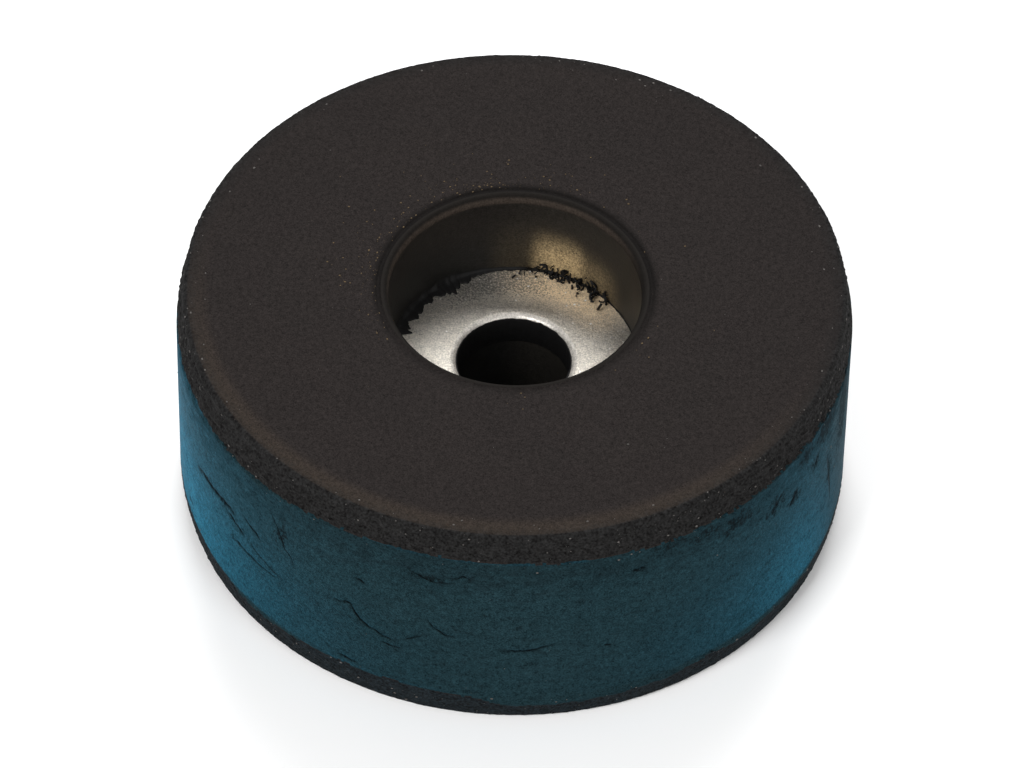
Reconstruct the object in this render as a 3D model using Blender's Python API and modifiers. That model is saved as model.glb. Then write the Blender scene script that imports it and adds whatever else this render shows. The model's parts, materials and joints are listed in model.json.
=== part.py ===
"""Round rubber foot with a steel washer moulded into it, for the underside of a case or cabinet.

It stands as it comes off the shelf: mounting face down at z = 0, screw recess up.
Units are metres, +Z is up, and the Z axis is the axis of the foot.
Run it with: blender --background --python part.py
"""

import math

import bpy

# Rubber body
BODY_DIAMETER = 0.0380
BODY_HEIGHT = 0.0150
TOP_BAND_HEIGHT = 0.0019  # the slightly tapered band between the side wall and the top face
TOP_BAND_INSET = 0.00030
TOP_EDGE_RADIUS = 0.00035
BASE_BAND_HEIGHT = 0.0018
BASE_BAND_INSET = 0.00022
BASE_EDGE_RADIUS = 0.00030

# Screw recess, which narrows towards the washer so that the core pin draws out of the mould
RECESS_FLOOR_DIAMETER = 0.0140
RECESS_DEPTH = 0.0059  # from the top face down to the washer
RECESS_DRAFT_ANGLE = math.radians(1.0)
RECESS_LIP_WIDTH = 0.00038  # how far the rounded lip reaches out over the top face
RECESS_LIP_DEPTH = 0.00065

# Steel washer, held by its rim in a groove of the rubber
WASHER_DIAMETER = 0.0180
WASHER_THICKNESS = 0.0016
WASHER_HOLE_DIAMETER = 0.0065
WASHER_ROLL_WIDTH = 0.00040  # the rounded edge that the punch leaves on its entry side
WASHER_ROLL_DEPTH = 0.00032
WASHER_BREAK = 0.00015  # the small chamfer on the other edges
WASHER_COINING = 0.00003  # the mould's core pin presses the seat this far below the buried rim

# The rubber's own screw hole is in line with the washer's, because one pin of the mould makes both
SCREW_HOLE_CHAMFER = 0.00050

RUBBER_TO_STEEL_GAP = 0.00030

# Smoothness
TURNING_STEPS = 96
ARC_SEGMENTS = 4
SHARP_ANGLE = math.radians(35)

RUBBER_BLACK = (0.028, 0.024, 0.023)
ZINC_GREY = (0.56, 0.55, 0.53)

body_radius = BODY_DIAMETER / 2
washer_radius = WASHER_DIAMETER / 2
washer_hole_radius = WASHER_HOLE_DIAMETER / 2
washer_top_height = BODY_HEIGHT - RECESS_DEPTH
washer_rim_height = washer_top_height + WASHER_COINING
washer_underside_height = washer_rim_height - WASHER_THICKNESS
recess_floor_radius = RECESS_FLOOR_DIAMETER / 2
recess_wall_height = RECESS_DEPTH - RECESS_LIP_DEPTH
recess_mouth_radius = recess_floor_radius + recess_wall_height * math.tan(RECESS_DRAFT_ANGLE)
screw_hole_radius = washer_hole_radius


def clear_scene():
    for old in list(bpy.data.objects):
        bpy.data.objects.remove(old)


def arc(centre, radii, start, end, segments=ARC_SEGMENTS):
    """Points (r, z) of an arc about centre, with its two radii, from one angle to another in degrees."""
    points = []
    for step in range(segments + 1):
        angle = math.radians(start + (end - start) * step / segments)
        points.append((centre[0] + radii[0] * math.cos(angle), centre[1] + radii[1] * math.sin(angle)))
    return points


def body_profile():
    """The rubber's section as a closed loop: down the outside, in under the base, up the inside."""
    top_edge = body_radius - TOP_BAND_INSET
    base_edge = body_radius - BASE_BAND_INSET
    outside = [
        *arc(
            (top_edge - TOP_EDGE_RADIUS, BODY_HEIGHT - TOP_EDGE_RADIUS),
            (TOP_EDGE_RADIUS, TOP_EDGE_RADIUS),
            90,
            0,
        ),
        (body_radius, BODY_HEIGHT - TOP_BAND_HEIGHT),
        (body_radius, BASE_BAND_HEIGHT),
        *arc(
            (base_edge - BASE_EDGE_RADIUS, BASE_EDGE_RADIUS),
            (BASE_EDGE_RADIUS, BASE_EDGE_RADIUS),
            0,
            -90,
        ),
    ]
    groove_floor = washer_underside_height - RUBBER_TO_STEEL_GAP
    groove_ceiling = washer_rim_height + RUBBER_TO_STEEL_GAP
    groove_radius = washer_radius + RUBBER_TO_STEEL_GAP
    inside = [
        (screw_hole_radius + SCREW_HOLE_CHAMFER, 0.0),
        (screw_hole_radius, SCREW_HOLE_CHAMFER),
        (screw_hole_radius, groove_floor),
        (groove_radius, groove_floor),
        (groove_radius, groove_ceiling),
        (recess_floor_radius, groove_ceiling),
        *arc(
            (recess_mouth_radius + RECESS_LIP_WIDTH, BODY_HEIGHT - RECESS_LIP_DEPTH),
            (RECESS_LIP_WIDTH, RECESS_LIP_DEPTH),
            180,
            90,
        ),
    ]
    return outside + inside


def washer_profile():
    """The washer's section as a closed loop. The coined seat ends at the wall of the recess."""
    rim = washer_radius - WASHER_BREAK
    return [
        (rim, washer_rim_height),
        (washer_radius, washer_rim_height - WASHER_BREAK),
        (washer_radius, washer_underside_height + WASHER_BREAK),
        (rim, washer_underside_height),
        (washer_hole_radius + WASHER_BREAK, washer_underside_height),
        (washer_hole_radius, washer_underside_height + WASHER_BREAK),
        *arc(
            (washer_hole_radius + WASHER_ROLL_WIDTH, washer_top_height - WASHER_ROLL_DEPTH),
            (WASHER_ROLL_WIDTH, WASHER_ROLL_DEPTH),
            180,
            90,
        ),
        (recess_floor_radius, washer_top_height),
        (recess_floor_radius, washer_rim_height),
    ]


def turned_solid(name, profile, collection):
    """A closed section turned once round the Z axis with a Screw modifier, and kept as a mesh."""
    outline = bpy.data.meshes.new(name + "_section")
    count = len(profile)
    outline.from_pydata(
        [(r, 0.0, z) for r, z in profile],
        [(i, (i + 1) % count) for i in range(count)],
        [],
    )
    section = bpy.data.objects.new(name + "_section", outline)
    collection.objects.link(section)
    screw = section.modifiers.new("turn", "SCREW")
    screw.axis = "Z"
    screw.angle = 2 * math.pi
    screw.steps = TURNING_STEPS
    screw.render_steps = TURNING_STEPS
    screw.use_merge_vertices = True
    screw.merge_threshold = 0.00001
    graph = bpy.context.evaluated_depsgraph_get()
    mesh = bpy.data.meshes.new_from_object(section.evaluated_get(graph))
    mesh.name = name
    mesh.shade_smooth()
    mesh.set_sharp_from_angle(angle=SHARP_ANGLE)
    solid = bpy.data.objects.new(name, mesh)
    collection.objects.link(solid)
    bpy.data.objects.remove(section)
    return solid


def finish(solid, colour, roughness, metallic):
    """Gives the solid a plain Principled material of its own."""
    material = bpy.data.materials.new(solid.name)
    material.use_nodes = True
    shader = material.node_tree.nodes["Principled BSDF"]
    shader.inputs["Base Color"].default_value = (*colour, 1.0)
    shader.inputs["Roughness"].default_value = roughness
    shader.inputs["Metallic"].default_value = metallic
    solid.data.materials.clear()
    solid.data.materials.append(material)


def main():
    clear_scene()
    foot = bpy.data.collections.new("rubber_foot")
    bpy.context.scene.collection.children.link(foot)
    body = turned_solid("rubber_body", body_profile(), foot)
    finish(body, RUBBER_BLACK, roughness=0.7, metallic=0.0)
    washer = turned_solid("steel_washer", washer_profile(), foot)
    finish(washer, ZINC_GREY, roughness=0.4, metallic=1.0)


main()
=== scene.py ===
# %% [markdown]
# # A round rubber foot with a steel washer
#
# This foot goes under a loudspeaker, a case or a cabinet. It is one puck of black rubber, pressed in a
# heated mould round a loose steel washer. The screw's head sits on the washer, at the bottom of a recess.
# The object is plain, so its looks are all in the surfaces: a matt face, gritty edges, a satin side wall
# with flow creases, a half-gloss recess, grainy zinc, and the torn film of rubber on the washer.
#
# We load the finished solids first. They give every size and place, and nothing here moves them.

# %% Load the frame
import json
import math

import bmesh
import bpy
import numpy as np
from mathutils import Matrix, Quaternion, Vector, noise

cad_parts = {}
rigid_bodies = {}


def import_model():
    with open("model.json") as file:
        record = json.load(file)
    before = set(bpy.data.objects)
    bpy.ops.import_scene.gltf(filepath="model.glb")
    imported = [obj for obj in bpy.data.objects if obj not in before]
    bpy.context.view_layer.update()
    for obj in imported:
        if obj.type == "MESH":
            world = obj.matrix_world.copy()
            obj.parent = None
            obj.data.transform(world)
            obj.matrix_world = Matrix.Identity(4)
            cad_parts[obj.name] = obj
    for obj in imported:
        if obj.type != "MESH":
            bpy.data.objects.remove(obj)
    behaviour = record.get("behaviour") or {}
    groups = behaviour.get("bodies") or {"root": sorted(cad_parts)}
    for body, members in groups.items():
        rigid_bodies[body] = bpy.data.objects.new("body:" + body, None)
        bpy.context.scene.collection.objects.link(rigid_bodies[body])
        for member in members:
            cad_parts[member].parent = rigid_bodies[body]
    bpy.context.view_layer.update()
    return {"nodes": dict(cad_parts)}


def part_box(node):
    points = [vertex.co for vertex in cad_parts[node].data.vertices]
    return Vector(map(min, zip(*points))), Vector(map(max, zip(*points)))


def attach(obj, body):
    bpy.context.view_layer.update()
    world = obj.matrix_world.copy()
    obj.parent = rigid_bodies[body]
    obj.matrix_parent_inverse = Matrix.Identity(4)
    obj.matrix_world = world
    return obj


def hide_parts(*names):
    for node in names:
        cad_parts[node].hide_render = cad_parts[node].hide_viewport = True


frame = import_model()
print("nodes:", sorted(frame["nodes"]))

# %% [markdown]
# ## Sizes
#
# The outer sizes come from the frame, so they can't drift. The sizes inside the recess are hidden in the
# nodes' meshes, so they are written again here, in metres. `mm` keeps them readable.

# %% Sizes of the foot
mm = 0.001
_, body_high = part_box("rubber_body")
washer_low, washer_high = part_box("steel_washer")
foot_radius = body_high.x
face_height = body_high.z
washer_radius = washer_high.x
washer_underside = washer_low.z

COINING = 0.03 * mm
RECESS_FLOOR_RADIUS = 7.0 * mm
RECESS_DRAFT = math.radians(1.0)
LIP_WIDTH = 0.38 * mm
LIP_DEPTH = 0.65 * mm
SCREW_HOLE_RADIUS = 3.25 * mm
seat_height = washer_high.z - COINING
lip_start_height = face_height - LIP_DEPTH
mouth_radius = RECESS_FLOOR_RADIUS + (lip_start_height - seat_height) * math.tan(RECESS_DRAFT)
lip_radius = mouth_radius + LIP_WIDTH
print(f"foot {2000 * foot_radius:.1f} x {1000 * face_height:.1f} mm, lip {2000 * lip_radius:.2f} mm across")

# %% [markdown]
# ## Node helpers
#
# A shader is a small program drawn with nodes. These helpers write one node in one line, and each gives
# back the output that the next line uses, so a material reads from top to bottom like ordinary code.

# %% Helpers for node trees
def feed(tree, socket, value):
    """Plugs an output into a socket, or sets the socket's own number or colour."""
    if isinstance(value, bpy.types.NodeSocket):
        tree.links.new(value, socket)
    elif value is not None:
        opaque = socket.type == "RGBA" and len(value) == 3
        socket.default_value = (*value, 1.0) if opaque else value


def fill(tree, node, **values):
    """Feeds a node's inputs by name, with underscores for spaces, and gives the node back."""
    for name, value in values.items():
        feed(tree, node.inputs[name.replace("_", " ")], value)
    return node


def maths(tree, operation, first, second=None, clamp=False):
    made = tree.nodes.new("ShaderNodeMath")
    made.operation = operation
    made.use_clamp = clamp
    feed(tree, made.inputs[0], first)
    feed(tree, made.inputs[1], second)
    return made.outputs[0]


def times(tree, first, second, clamp=False):
    return maths(tree, "MULTIPLY", first, second, clamp)


def plus(tree, first, second):
    return maths(tree, "ADD", first, second)


print("helpers for sums ready")

# %% Helpers that map, mix and cloud
def fade(tree, value, start, end):
    """0 before start and 1 after end, with a smooth rise between; start may be larger than end."""
    made = tree.nodes.new("ShaderNodeMapRange")
    made.interpolation_type = "SMOOTHSTEP"
    return fill(tree, made, Value=value, From_Min=start, From_Max=end).outputs["Result"]


def between(tree, value, low, high):
    """A plain straight map of 0 to 1 onto low to high."""
    made = tree.nodes.new("ShaderNodeMapRange")
    return fill(tree, made, Value=value, To_Min=low, To_Max=high).outputs["Result"]


def blend(tree, share, first, second, how="MIX"):
    made = tree.nodes.new("ShaderNodeMix")
    made.data_type = "RGBA"
    made.blend_type = how
    return fill(tree, made, Factor=share, A=first, B=second).outputs["Result"]


def shaded(tree, colour, shade):
    """The colour made lighter and darker by a grain's shade."""
    return blend(tree, 1.0, colour, shade, "MULTIPLY")


def cloud(tree, place, size, detail=2.0, roughness=0.5, stretch=None):
    """A noise whose blobs are about this size in metres; a socket gives its scale, per metre, instead."""
    scaled = tree.nodes.new("ShaderNodeVectorMath")
    scaled.operation = "SCALE"
    feed(tree, scaled.inputs[0], place)
    feed(tree, scaled.inputs["Scale"], size if isinstance(size, bpy.types.NodeSocket) else 1.0 / size)
    moved = scaled.outputs[0]
    if stretch:
        pulled = tree.nodes.new("ShaderNodeVectorMath")
        pulled.operation = "MULTIPLY"
        feed(tree, pulled.inputs[0], moved)
        pulled.inputs[1].default_value = stretch
        moved = pulled.outputs[0]
    made = tree.nodes.new("ShaderNodeTexNoise")
    return fill(tree, made, Vector=moved, Scale=1.0, Detail=detail, Roughness=roughness).outputs["Fac"]


print("helpers for masks and colours ready")

# %% Helpers for node groups
FLOAT, VECTOR = "NodeSocketFloat", "NodeSocketVector"


def new_group(title, outputs, **inputs):
    """A shader node group: (tree, inputs, output node). An input given as None is a place, not a number."""
    tree = bpy.data.node_groups.new(title, "ShaderNodeTree")
    for name, default in inputs.items():
        kind = VECTOR if default is None else FLOAT
        socket = tree.interface.new_socket(name, in_out="INPUT", socket_type=kind)
        if default is not None:
            socket.default_value = default
    for name in outputs:
        tree.interface.new_socket(name, in_out="OUTPUT", socket_type=FLOAT)
    entry = tree.nodes.new("NodeGroupInput")
    leave = tree.nodes.new("NodeGroupOutput")
    return tree, entry.outputs, leave


def use_group(tree, group, **values):
    """Places a group in a material and gives back its outputs."""
    made = tree.nodes.new("ShaderNodeGroup")
    made.node_tree = group
    return fill(tree, made, **values).outputs


print("node helpers ready")

# %% [markdown]
# ## Effects that several finishes share
#
# Moulded rubber and plated steel both have a fine grain, stray light specks and patches where the surface
# changed. Each effect is one group, so its recipe is written once and every finish sets its own values.
# `polar` turns a point into its distance from the axis, its height and its angle round the foot, measured
# from the front. Those let a finish follow the round shape without any UV map.

# %% The grain group
COARSER = 0.32
FINE_PART, COARSE_PART = 0.65, 0.35
DARKEST_SHADE = 0.05


def make_grain():
    tree, given, out = new_group("grain", ["Shade", "Height"], Place=None, Size=0.1 * mm, Contrast=0.3)
    fine_scale = maths(tree, "DIVIDE", 1.0, given["Size"])
    fine = cloud(tree, given["Place"], fine_scale, detail=1.0)
    coarse = cloud(tree, given["Place"], times(tree, fine_scale, COARSER), detail=2.0)
    both = plus(tree, times(tree, fine, FINE_PART), times(tree, coarse, COARSE_PART))
    # Noise stays close to 0.5, so its swing is widened four times before the contrast is set.
    centred = times(tree, maths(tree, "SUBTRACT", both, 0.5), 4.0)
    shade = plus(tree, 1.0, times(tree, centred, given["Contrast"]))
    fill(tree, out, Shade=maths(tree, "MAXIMUM", shade, DARKEST_SHADE), Height=both)
    return tree


grain = make_grain()
print("group:", grain.name)

# %% The specks group
SMALLEST_SPECK, LARGEST_SPECK = 0.5, 1.4
SPECK_CORE = 0.55


def make_specks():
    tree, given, out = new_group("specks", ["Mask"], Place=None, Spacing=1.0 * mm, Radius=0.08, Share=0.3)
    cells = tree.nodes.new("ShaderNodeTexVoronoi")
    scale = maths(tree, "DIVIDE", 1.0, given["Spacing"])
    fill(tree, cells, Vector=given["Place"], Scale=scale, Randomness=1.0)
    split = tree.nodes.new("ShaderNodeSeparateColor")
    feed(tree, split.inputs[0], cells.outputs["Color"])
    chosen = maths(tree, "LESS_THAN", split.outputs[0], given["Share"])
    size = between(tree, split.outputs[1], SMALLEST_SPECK, LARGEST_SPECK)
    reach = times(tree, given["Radius"], size)
    spot = fade(tree, cells.outputs["Distance"], reach, times(tree, reach, SPECK_CORE))
    fill(tree, out, Mask=times(tree, chosen, spot))
    return tree


specks = make_specks()
print("group:", specks.name)

# %% The patches and window groups
def make_patches():
    tree, given, out = new_group("patches", ["Mask"], Fac=0.5, Amount=0.4, Softness=0.06)
    level = maths(tree, "SUBTRACT", 1.0, given["Amount"])
    start = maths(tree, "SUBTRACT", level, given["Softness"])
    end = plus(tree, level, given["Softness"])
    fill(tree, out, Mask=fade(tree, given["Fac"], start, end))
    return tree


def make_window():
    tree, given, out = new_group("window", ["Mask"], Value=0.0, Low=0.0, High=1.0, Fade=0.1)
    start = maths(tree, "SUBTRACT", given["Low"], given["Fade"])
    end = plus(tree, given["High"], given["Fade"])
    rise = fade(tree, given["Value"], start, given["Low"])
    fall = fade(tree, given["Value"], end, given["High"])
    fill(tree, out, Mask=times(tree, rise, fall))
    return tree


patches, window = make_patches(), make_window()
print("groups:", patches.name, window.name)

# %% The polar and sector groups
def make_polar():
    tree, given, out = new_group("polar", ["Radius", "Height", "Angle"], Place=None)
    parts = tree.nodes.new("ShaderNodeSeparateXYZ")
    feed(tree, parts.inputs[0], given["Place"])
    x, y, z = parts.outputs
    radius = maths(tree, "SQRT", plus(tree, times(tree, x, x), times(tree, y, y)))
    fill(tree, out, Radius=radius, Height=z, Angle=maths(tree, "ARCTAN2", x, times(tree, y, -1.0)))
    return tree


def make_sector():
    tree, given, out = new_group("sector", ["Mask"], Angle=0.0, Centre=0.0, Half=0.5, Fade=0.2)
    apart = maths(tree, "COSINE", maths(tree, "SUBTRACT", given["Angle"], given["Centre"]))
    inner = maths(tree, "COSINE", given["Half"])
    outer = maths(tree, "COSINE", plus(tree, given["Half"], given["Fade"]))
    fill(tree, out, Mask=fade(tree, apart, outer, inner))
    return tree


polar, sector = make_polar(), make_sector()
print("groups:", polar.name, sector.name)

# %% Helpers for a finish
def start_finish(name):
    """A new material: (material, tree, shader, object coordinates)."""
    finish = bpy.data.materials.new(name)
    finish.use_nodes = True
    tree = finish.node_tree
    place = tree.nodes.new("ShaderNodeTexCoord").outputs["Object"]
    return finish, tree, tree.nodes["Principled BSDF"], place


def painted(tree, name):
    """A mask that was painted on the mesh as an attribute."""
    made = tree.nodes.new("ShaderNodeAttribute")
    made.attribute_name = name
    return made.outputs["Fac"]


def relief(tree, shader, height, depth, strength):
    bump = fill(tree, tree.nodes.new("ShaderNodeBump"), Height=height, Distance=depth, Strength=strength)
    fill(tree, shader, Normal=bump.outputs["Normal"])


def part_of_turn(tree, where, centre, half, soft):
    """A mask for one part of the turn round the foot, in degrees from the front."""
    centre, half, soft = (math.radians(angle) for angle in (centre, half, soft))
    return use_group(tree, sector, Angle=where["Angle"], Centre=centre, Half=half, Fade=soft)["Mask"]


print("finish helpers ready")

# %% [markdown]
# ## Matt rubber: the face, the gritty edges and the underside
#
# The face that meets the floor is matt and faintly brown, with a grain as fine as dust. The bands at the
# two edges were cut by the mould's rim, so they are blacker and coarser, and small bright crumbs stick to
# them; the lower band also carries a teal tint of painted reflection. A ring next to the recess was rubbed
# smooth by the mould's core pin, and painted shade darkens it, most at the back. The front-left edge of
# the face gets a warm painted highlight. The `grit` mask is painted on the mesh, where the bands are
# really rough too.

# %% Colours of the face
FACE_BROWN, FACE_BLACK = (0.0174, 0.0144, 0.0135), (0.0144, 0.0122, 0.0118)
# Below: a painted highlight for the edge of the face, and painted shade for the ring by the recess.
WARM_EDGE_HIGHLIGHT, RING_SHADE = (0.0330, 0.0250, 0.0195), (0.0035, 0.0030, 0.0028)
# The lower band's colour is its dark grit with a teal tint of painted reflection.
TOP_GRIT, BASE_GRIT_AND_REFLECTION = (0.0111, 0.0110, 0.0110), (0.0080, 0.0116, 0.0140)
CRUMB = (0.060, 0.050, 0.042)


def face_colour(tree, place, where, smooth_shaded_ring, shade):
    """Brown and black clouds, a painted highlight by the front-left edge, and painted shade on the recess
    ring.
    """
    colour = blend(tree, cloud(tree, place, 4.5 * mm, detail=3.0), FACE_BROWN, FACE_BLACK)
    # A warm painted highlight along the front-left edge of the face.
    outwards = fade(tree, where["Radius"], 16.9 * mm, 18.2 * mm)
    inside_edge = fade(tree, where["Radius"], 18.55 * mm, 18.3 * mm)
    front_left = part_of_turn(tree, where, -18, 35, 60)
    painted_edge_light = times(tree, times(tree, outwards, inside_edge), front_left)
    colour = blend(tree, painted_edge_light, colour, WARM_EDGE_HIGHLIGHT)
    # Painted shade on the smooth ring round the recess.
    colour = blend(tree, smooth_shaded_ring, colour, RING_SHADE)
    return shaded(tree, colour, shade)


print("face:", FACE_BROWN, "to", FACE_BLACK)


# %% Matt rubber
def make_matt_rubber():
    finish, tree, shader, place = start_finish("matt_rubber")
    where = use_group(tree, polar, Place=place)
    fine = use_group(tree, grain, Place=place, Size=0.075 * mm, Contrast=0.75)
    coarse = use_group(tree, grain, Place=place, Size=0.14 * mm, Contrast=1.1)
    grit = painted(tree, "grit")
    # The smooth ring round the recess: painted shade in its colour, strongest at the back, and less
    # roughness.
    ring = use_group(tree, window, Value=where["Radius"], Low=7.4 * mm, High=7.75 * mm, Fade=0.5 * mm)["Mask"]
    smooth_shaded_ring = times(tree, ring, between(tree, part_of_turn(tree, where, 180, 80, 60), 0.35, 0.9))
    face = face_colour(tree, place, where, smooth_shaded_ring, fine["Shade"])
    # Lower down, the band takes the grit colour with the painted teal reflection.
    low = fade(tree, where["Height"], 3.5 * mm, 2.5 * mm)
    edge = shaded(tree, blend(tree, low, TOP_GRIT, BASE_GRIT_AND_REFLECTION), coarse["Shade"])
    crumbs = use_group(tree, specks, Place=place, Spacing=0.55 * mm, Radius=0.075, Share=0.22)["Mask"]
    crumbs = times(tree, crumbs, between(tree, grit, 0.30, 0.7))
    colour = blend(tree, crumbs, blend(tree, grit, face, edge), CRUMB)
    roughness = between(tree, fine["Height"], 0.72, 0.95)
    roughness = maths(tree, "SUBTRACT", roughness, times(tree, smooth_shaded_ring, 0.12))
    fill(tree, shader, Base_Color=colour, Roughness=roughness)
    fill(tree, shader, Specular_IOR_Level=0.07, Specular_Tint=(1.0, 0.92, 0.88))
    height = plus(tree, fine["Height"], times(tree, coarse["Height"], grit))
    relief(tree, shader, height, 0.05 * mm, 0.9)
    return finish


matt_rubber = make_matt_rubber()
print("finish:", matt_rubber.name)

# %% [markdown]
# ## Satin rubber: the side wall
#
# The polished wall of the mould left a satin skin on the black rubber; its deep teal is painted reflection
# of blue surroundings. Where the rubber flowed together it folded into thin creases, which are cut into
# the mesh and painted as the `crease` mask; their darkness is painted shade. Under the top edge the skin
# is smudged, and in a few places, most of them on the right, it is scuffed dark; those places are painted
# on the mesh as a mask, and the largest, at the right edge, is partly painted shade. Seen along the surface
# the skin is painted a lighter teal, as painted reflection. Sheen alone is too weak for that, so Layer
# Weight, which knows the slant from any side, mixes in a lighter colour.

# %% Teal at a slant: painted reflection
# The teal is painted reflection of blue surroundings on black rubber; the tone between these two is random.
REFLECTED_TEAL_DARK, REFLECTED_TEAL_LIGHT = (0.0086, 0.0220, 0.0272), (0.0122, 0.0285, 0.0342)
GLANCING_REFLECTION = (0.014, 0.115, 0.185)
SMUDGE, SCUFF_AND_SHADE = (0.0060, 0.0095, 0.0110), (0.0042, 0.0056, 0.0062)
# The crease colour is painted shade in the folds.
FOLD_SHADE, FLECK = (0.0016, 0.0018, 0.0020), (0.040, 0.065, 0.075)


def painted_glancing_reflection(tree, where):
    """Painted reflection: lighter teal at a slant, most low down, least on the right where shadow is
    mirrored.
    """
    # Layer Weight gives 0 where we look straight at the skin and 1 along it.
    steep = tree.nodes.new("ShaderNodeLayerWeight").outputs["Facing"]
    glance = maths(tree, "POWER", between(tree, steep, -0.50, 1.12), 2.0)
    # Painted reflection: stronger low down, where the lit floor is mirrored; painted shade on the right.
    reflection_strength = between(tree, fade(tree, where["Height"], 10.5 * mm, 2.5 * mm), 0.55, 1.6)
    reflection_strength = times(tree, reflection_strength, between(tree, part_of_turn(tree, where, 95, 14, 26), 1.0, 0.10))
    torn_foot = fade(tree, where["Height"], 1.80 * mm, 2.15 * mm)
    return times(tree, times(tree, glance, reflection_strength), torn_foot)


print("side wall:", REFLECTED_TEAL_DARK, "to", REFLECTED_TEAL_LIGHT)


# %% Satin rubber
def make_satin_rubber():
    finish, tree, shader, place = start_finish("satin_rubber")
    where = use_group(tree, polar, Place=place)
    fine = use_group(tree, grain, Place=place, Size=0.10 * mm, Contrast=0.70)
    tone = cloud(tree, place, 5.0 * mm, detail=4.0, roughness=0.6)
    colour = blend(tree, tone, REFLECTED_TEAL_DARK, REFLECTED_TEAL_LIGHT)
    # Painted reflection: a lighter teal where the skin is seen at a slant.
    colour = blend(tree, painted_glancing_reflection(tree, where), colour, GLANCING_REFLECTION)
    cloudy = cloud(tree, place, 1.1 * mm, detail=6.0, roughness=0.72, stretch=(1.0, 1.0, 2.2))
    high = between(tree, fade(tree, where["Height"], 9.4 * mm, 12.6 * mm), 0.40, 0.56)
    smudge = use_group(tree, patches, Fac=cloudy, Amount=high, Softness=0.14)["Mask"]
    colour = blend(tree, times(tree, smudge, 0.45), colour, SMUDGE)
    rubbing = cloud(tree, place, 0.30 * mm, detail=5.0, roughness=0.78, stretch=(1.0, 1.0, 0.6))
    # Scuff marks, with painted shade along the right edge.
    scuffed = between(tree, painted(tree, "scuff_and_shade"), 0.10, 0.58)
    streaks = use_group(tree, patches, Fac=rubbing, Amount=scuffed, Softness=0.08)["Mask"]
    colour = blend(tree, times(tree, streaks, 0.8), colour, SCUFF_AND_SHADE)
    broken = use_group(tree, patches, Fac=cloud(tree, place, 0.25 * mm), Amount=0.68, Softness=0.14)["Mask"]
    # Painted shade in the creases, broken up.
    colour = blend(tree, times(tree, painted(tree, "crease"), broken), colour, FOLD_SHADE)
    colour = shaded(tree, colour, fine["Shade"])
    flecks = use_group(tree, specks, Place=place, Spacing=1.1 * mm, Radius=0.04, Share=0.15)["Mask"]
    colour = blend(tree, times(tree, flecks, 0.7), colour, FLECK)
    marked_region = maths(tree, "MAXIMUM", streaks, smudge)
    roughness = plus(tree, between(tree, tone, 0.40, 0.50), times(tree, marked_region, 0.15))
    fill(tree, shader, Base_Color=colour, Roughness=roughness)
    fill(tree, shader, Specular_IOR_Level=0.004, Specular_Tint=(0.20, 0.75, 1.0))
    fill(tree, shader, Sheen_Weight=0.03, Sheen_Roughness=0.32, Sheen_Tint=(0.05, 0.42, 0.66))
    relief(tree, shader, plus(tree, fine["Height"], times(tree, cloudy, 1.2)), 0.03 * mm, 0.6)
    return finish


satin_rubber = make_satin_rubber()
print("finish:", satin_rubber.name)

# %% [markdown]
# ## Half-gloss rubber: the recess
#
# The core pin of the mould was polished, so the lip, the wall and the hole are smoother than the face. On
# the wall at the back, to the right, warm light is painted in, strongest above the washer and gone below
# the lip: painted light where the key lamp from the front left falls on the far wall. The wall is painted
# lighter towards its mouth, and the lip is painted dark as shade, with a painted highlight along its back
# and left.

# %% Painted light in the recess
WALL_GREY, WALL_BLACK, WALL_MOUTH_LIGHT = (0.0108, 0.0106, 0.0100), (0.0082, 0.0082, 0.0080), (0.0120, 0.0106, 0.0096)
LIT_WALL, WARM_WALL_LIGHT = (0.0210, 0.0185, 0.0150), (0.44, 0.325, 0.175)
LIP_SHADE, LIP_HIGHLIGHT = (0.0058, 0.0050, 0.0046), (0.0370, 0.0285, 0.0230)
# Patches of painted warm light on the far wall.
WALL_LIGHT_PATCHES = [
    # (angle, soft edge in degrees, height where it ends, height where it is full, how much)
    (159, 17, 13.3, 10.4, 0.78),
    (148, 31, 12.9, 10.2, 0.33),
    (172, 26, 14.2, 10.8, 0.05),
]


def painted_wall_light(tree, place, where):
    """Three soft patches of painted light on the wall, broken up by a cloud and by small pores."""
    light_amount = 0.0
    for centre, soft, top, full, share in WALL_LIGHT_PATCHES:
        rise = fade(tree, where["Height"], top * mm, full * mm)
        patch = times(tree, part_of_turn(tree, where, centre, 0.5, soft), rise)
        light_amount = plus(tree, times(tree, maths(tree, "POWER", patch, 1.7), share), light_amount)
    above_washer = fade(tree, where["Height"], 9.0 * mm, 9.2 * mm)
    patchy = between(tree, cloud(tree, place, 0.12 * mm, detail=3.0, roughness=0.7), -0.5, 2.1)
    painted_light = times(tree, times(tree, light_amount, above_washer), patchy, clamp=True)
    pores = use_group(tree, specks, Place=place, Spacing=0.42 * mm, Radius=0.16, Share=0.35)["Mask"]
    return times(tree, painted_light, between(tree, pores, 1.0, 0.25))


print(len(WALL_LIGHT_PATCHES), "patches of powder")


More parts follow.
